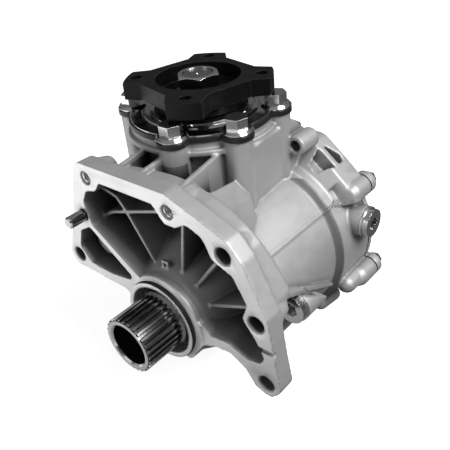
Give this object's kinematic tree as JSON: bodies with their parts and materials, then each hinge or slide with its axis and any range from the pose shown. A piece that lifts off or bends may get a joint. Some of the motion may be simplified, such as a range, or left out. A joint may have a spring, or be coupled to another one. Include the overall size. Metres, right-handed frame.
{
  "type": "transverse transfer case",
  "caption": "Right-angle power transfer unit: ribbed cast housing with a mating flange, hollow splined input shaft and a four-lug output flange driven by a bevel gear pair.",
  "frame": {"origin": "the input shaft's axis where it crosses the mating face", "axes": "+Y runs along the input shaft into the housing, away from the gearbox; +Z is the output shaft's axis, out through the output flange; +X completes the right-handed set"},
  "size_m": [0.1975, 0.214, 0.2232],
  "materials": {
    "cast_aluminium": "satin, sand-blasted casting with machined faces",
    "black_steel": "black satin coating",
    "dark_steel": "dark phosphated and oiled",
    "gear_steel": "ground and hardened",
    "bearing_steel": "polished",
    "bright_steel": "bright pressed steel",
    "zinc_steel": "clear zinc plating",
    "washer_aluminium": "soft bright aluminium",
    "sealing_rubber": "black oil-proof rubber"
  },
  "bodies": {
    "case": {"main_housing": "cast_aluminium", "rear_cover": "cast_aluminium", "cover_gasket": "sealing_rubber", "cover_bolts": "zinc_steel", "pinion_retainer": "bright_steel", "retainer_gasket": "sealing_rubber", "retainer_bolts": "zinc_steel", "filler_plug": "zinc_steel", "filler_washer": "washer_aluminium", "drain_plug": "zinc_steel", "drain_washer": "washer_aluminium", "dowel_pin": "dark_steel", "nose_o_ring": "sealing_rubber", "input_oil_seal": "sealing_rubber", "rear_oil_seal": "sealing_rubber", "output_oil_seal": "sealing_rubber", "front_bearing_outer_race": "bearing_steel", "rear_bearing_outer_race": "bearing_steel", "head_bearing_outer_race": "bearing_steel", "tail_bearing_outer_race": "bearing_steel"},
    "input": {"input_shaft": "dark_steel", "ring_gear": "gear_steel", "ring_gear_bolts": "dark_steel", "front_bearing_inner_race": "bearing_steel", "rear_bearing_inner_race": "bearing_steel"},
    "output": {"pinion_shaft": "gear_steel", "output_flange": "black_steel", "flange_nut": "zinc_steel", "flange_washer": "zinc_steel", "crush_sleeve": "gear_steel", "head_bearing_inner_race": "bearing_steel", "tail_bearing_inner_race": "bearing_steel"},
    "front_rollers": {"front_bearing_rollers": "bearing_steel"},
    "rear_rollers": {"rear_bearing_rollers": "bearing_steel"},
    "head_rollers": {"head_bearing_rollers": "bearing_steel"},
    "tail_rollers": {"tail_bearing_rollers": "bearing_steel"}
  },
  "joints": [
    {"name": "input_spin", "type": "hinge", "parent": "case", "child": "input", "pos_m": [0, 0, 0], "axis": [0, 1, 0], "continuous": true},
    {"name": "output_spin", "type": "hinge", "parent": "case", "child": "output", "pos_m": [-0.0331, 0.0919, 0.1], "axis": [0, 0, 1], "continuous": true},
    {"name": "front_rollers_roll", "type": "hinge", "parent": "case", "child": "front_rollers", "pos_m": [0, 0.024, 0], "axis": [0, 1, 0], "continuous": true},
    {"name": "rear_rollers_roll", "type": "hinge", "parent": "case", "child": "rear_rollers", "pos_m": [0, 0.15, 0], "axis": [0, 1, 0], "continuous": true},
    {"name": "head_rollers_roll", "type": "hinge", "parent": "case", "child": "head_rollers", "pos_m": [-0.0331, 0.0919, 0.071], "axis": [0, 0, 1], "continuous": true},
    {"name": "tail_rollers_roll", "type": "hinge", "parent": "case", "child": "tail_rollers", "pos_m": [-0.0331, 0.0919, 0.092], "axis": [0, 0, 1], "continuous": true}
  ],
  "couplings": [
    {"joint": "output_spin", "follows": "input_spin", "ratio": -2.5714},
    {"joint": "front_rollers_roll", "follows": "input_spin", "ratio": 0.4498},
    {"joint": "rear_rollers_roll", "follows": "input_spin", "ratio": 0.4498},
    {"joint": "head_rollers_roll", "follows": "input_spin", "ratio": -1.0545},
    {"joint": "tail_rollers_roll", "follows": "input_spin", "ratio": -1.0545}
  ]
}
